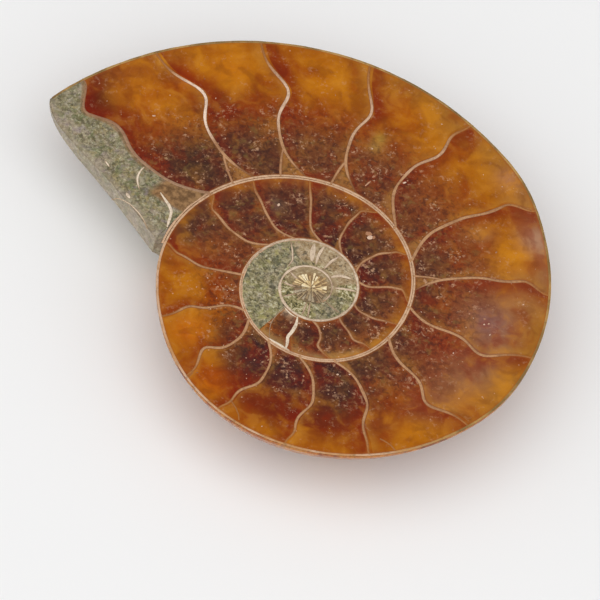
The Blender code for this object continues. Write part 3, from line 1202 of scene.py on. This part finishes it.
rosette.data.materials.append(
    crystal_finish("rosette_crystal", (168, 132, 88), (226, 198, 142), (248, 232, 194), 0.62))
flecks.data.materials.append(
    crystal_finish("fleck_crystal", (140, 88, 56), (184, 134, 100), (232, 204, 180), 0.0))
white = line_finish("white_calcite", (232, 214, 190), (176, 144, 110), (232, 214, 190), 0.0, 0.014)
rosy = line_finish("core_shell", (220, 198, 172), (160, 130, 104), (220, 198, 172), 0.0, 0.018)
dress(white, 60.0, veins, white_septum)
dress(rosy, 60.0, core_septa)
print("crystal finishes done")

# %% [markdown]
# ## The domed side
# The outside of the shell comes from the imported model, so that it rests and fits exactly as
# designed. A copy of it is merged and divided finer. Its flat face is sunk by a tenth of a
# millimetre, under the fills, and its flank gets the low folds that growth left on it.

# %% Copy and refine the domed side
FACE_SUNK = 0.10 * MM
FOLD_HEIGHT = 0.035 * MM
FOLDS_PER_WHORL = 46
STONE_FROM = -4.0


def domed_copy():
    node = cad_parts[NODE]
    piece = node.copy()
    piece.data = node.data.copy()
    named(piece, "domed_side")
    piece.data.materials.clear()
    bpy.context.collection.objects.link(piece)
    piece.parent = None
    open_mesh(piece)
    bpy.ops.mesh.customdata_custom_splitnormals_clear()
    bpy.ops.mesh.remove_doubles(threshold=0.002 * MM)
    bpy.ops.mesh.select_all(action="SELECT")
    bpy.ops.mesh.tris_convert_to_quads()
    close_mesh()
    return piece


def shape_dome(piece):
    """Divide the dome finer, lay folds on its flank and sink its flat face."""
    only(piece)
    finer = piece.modifiers.new("finer", "SUBSURF")
    finer.subdivision_type = "SIMPLE"
    finer.levels = finer.render_levels = 2
    bpy.ops.object.modifier_apply(modifier=finer.name)
    x, y, z = places(piece).T
    angle, radius = coil_place(x, y)
    edge = np.where(angle > FREE_EDGE_ENDS, coil_radius(angle), coil_radius(angle + 360.0))
    share = radius / edge
    turn = np.where(angle > FREE_EDGE_ENDS, angle, angle + 360.0)
    lean = 14.0 * np.sin(math.pi * share)
    folds = np.cos(np.radians((turn + lean) * FOLDS_PER_WHORL))
    flank = smooth_step((share - 0.36) / 0.2) * smooth_step((0.97 - share) / 0.1)
    flank = flank * smooth_step((z - 0.5 * MM) / MM) * smooth_step((FACE - 1.2 * MM - z) / MM)
    z = z + FOLD_HEIGHT * flank * (0.5 - 0.5 * folds)
    z = np.where(z > FACE - 0.01 * MM, FACE - FACE_SUNK, z)
    move_to(piece, x, y, z)
    keep(piece, "dome", turn / 20.0, share, np.clip((angle - STONE_FROM) / 6.0, 0.0, 1.0))


domed = domed_copy()
shape_dome(domed)
print("domed side:", len(domed.data.polygons), "faces")

# %% [markdown]
# Its polish shows the same calcite from outside: streaks of orange, gold, rose and grey that
# run from the hollow out to the edge, grey-green stone in the open end, and dark stone that
# still fills the hollow at the middle.

# %% The finish of the domed side
def dome_finish():
    finish = Finish("polished_flank", Roughness=0.28, Specular_IOR_Level=0.35, Coat_Weight=0.15,
                    Coat_Roughness=0.08)
    place = finish.spot()
    dome = finish.stored("dome")
    share = dome.part("Y")
    stone = dome.part("Z")
    squeezed = finish.node("VectorMath", {"operation": "MULTIPLY"}, {0: dome, 1: (1.0, 1.4, 0.0)})
    streak = squeezed.cloud(1.0 / 2.2, 5.0, 0.65, 0.5)
    base = streak.ramp(
        (0.28, (92, 54, 34)), (0.40, (140, 72, 30)), (0.48, (178, 104, 34)),
        (0.54, (196, 132, 52)), (0.62, (158, 102, 72)), (0.74, (128, 116, 104)))
    blotch = place.cloud(2.4 * MM, 5.0, 0.65, 0.5)
    base = base.mixed(blotch.step(0.50, 0.68) * 0.5, (164, 84, 30))
    base = base.mixed(blotch.step(0.46, 0.32) * 0.5, (86, 60, 44))
    grain = place.cloud(0.35 * MM, 4.0, 0.7)
    base = base.mixed(grain.step(0.56, 0.36) * 0.35, (70, 44, 30))
    base = base.mixed(grain.step(0.58, 0.70) * 0.3, (206, 168, 128))

    grains, height = grains_of(finish, place, 0.45 * MM)
    dark = grains.mixed(0.72, (36, 40, 28), "MULTIPLY")
    ragged = place.cloud(0.9 * MM, 4.0, 0.6) * 0.10
    lit_stone = grains.mixed(0.28, (172, 154, 138))
    base = base.mixed((stone + ragged).step(0.45, 0.55), lit_stone)
    base = base.mixed((share + ragged).step(0.37, 0.33), dark)
    return finish.done(base, height * stone + grain * 0.3, 0.02 * MM)


dress(dome_finish(), 35.0, domed)
print("dome finish done")

# %% [markdown]
# ## Put it together
# Every piece rides on the one body, and together they stand for the imported solid.

# %% Ride and replace
pieces = (
    domed, outer_chambers, inner_chambers, mouth, core, septa, core_septa, white_septum,
    whorl_walls, rim, veins, rosette, flecks,
)
for piece in pieces:
    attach(piece, "root")
    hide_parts(NODE)
print(len(pieces), "pieces ride on root")

# %% [markdown]
# ## Floor, light and camera
# A pale floor, a bright sky that is brighter in front than behind, and one large soft lamp.
# The camera looks down on the face at 54.5 degrees through a long lens, which keeps near
# and far edges in proportion, and it is rolled a little, as a hand holds it.

# %% The floor
deselect()
bpy.ops.mesh.primitive_plane_add(size=4.0, location=(0.0, 0.0, 0.0))
floor = bpy.context.active_object
floor.name = "floor"
paper = Finish("pale_paper", Roughness=0.9)
paper.shader.inputs["Base Color"].default_value = tone(242, 242, 242)
floor.data.materials.append(paper.material)

# %% The light
world = bpy.data.worlds.new("soft_sky")
bpy.context.scene.world = world
world.use_nodes = True
sky = world.node_tree
background = sky.nodes["Background"]
outwards = sky.nodes.new("ShaderNodeTexCoord")
split = sky.nodes.new("ShaderNodeSeparateXYZ")
fade = sky.nodes.new("ShaderNodeMapRange")
fade.interpolation_type = "SMOOTHSTEP"
for socket, value in (("From Min", 0.45), ("From Max", -0.25), ("To Min", 0.36), ("To Max", 1.09)):
    fade.inputs[socket].default_value = value
sky.links.new(outwards.outputs["Generated"], split.inputs[0])
sky.links.new(split.outputs["Y"], fade.inputs["Value"])
sky.links.new(fade.outputs[0], background.inputs["Strength"])
background.inputs["Color"].default_value = (1.0, 1.0, 1.0, 1.0)


lamp = bpy.data.lights.new("window", "AREA")
lamp.size = 1.1
lamp.energy = 2.5
window = bpy.data.objects.new("window", lamp)
bpy.context.collection.objects.link(window)
window.location = (-0.12, -0.20, 0.75)
window.rotation_euler = (-window.location).to_track_quat("-Z", "Y").to_euler()
print("lamp:", window.name, lamp.energy, "W")

# %% The camera
LOOK_DOWN = math.radians(54.5)
ROLL = math.radians(15.0)
LENS_DISTANCE = 1.83
FRAME_WIDTH = 59.9 * MM
COIL_RIGHT_OF_MIDDLE = 1.098 * MM
COIL_ABOVE_MIDDLE = 1.198 * MM
SENSOR = 36.0


def aim_camera():
    """Camera whose frame is FRAME_WIDTH wide at the face, rolled clockwise."""
    backwards = Vector((0.0, -math.cos(LOOK_DOWN), math.sin(LOOK_DOWN)))
    level_right = Vector((1.0, 0.0, 0.0))
    level_up = backwards.cross(level_right)
    right = level_right * math.cos(ROLL) + level_up * math.sin(ROLL)
    up = level_up * math.cos(ROLL) - level_right * math.sin(ROLL)
    target = Vector((COIL_CENTRE.x, COIL_CENTRE.y, FACE))
    target = target - right * COIL_RIGHT_OF_MIDDLE - up * COIL_ABOVE_MIDDLE
    data = bpy.data.cameras.new("camera")
    data.sensor_width = SENSOR
    data.lens = SENSOR * LENS_DISTANCE / FRAME_WIDTH
    data.clip_start = 0.1
    camera = bpy.data.objects.new("camera", data)
    bpy.context.collection.objects.link(camera)
    turn = Matrix((right, up, backwards)).transposed().to_4x4()
    camera.matrix_world = Matrix.Translation(target + backwards * LENS_DISTANCE) @ turn
    return camera


camera = aim_camera()
bpy.context.scene.camera = camera
print("lens", round(camera.data.lens), "mm")
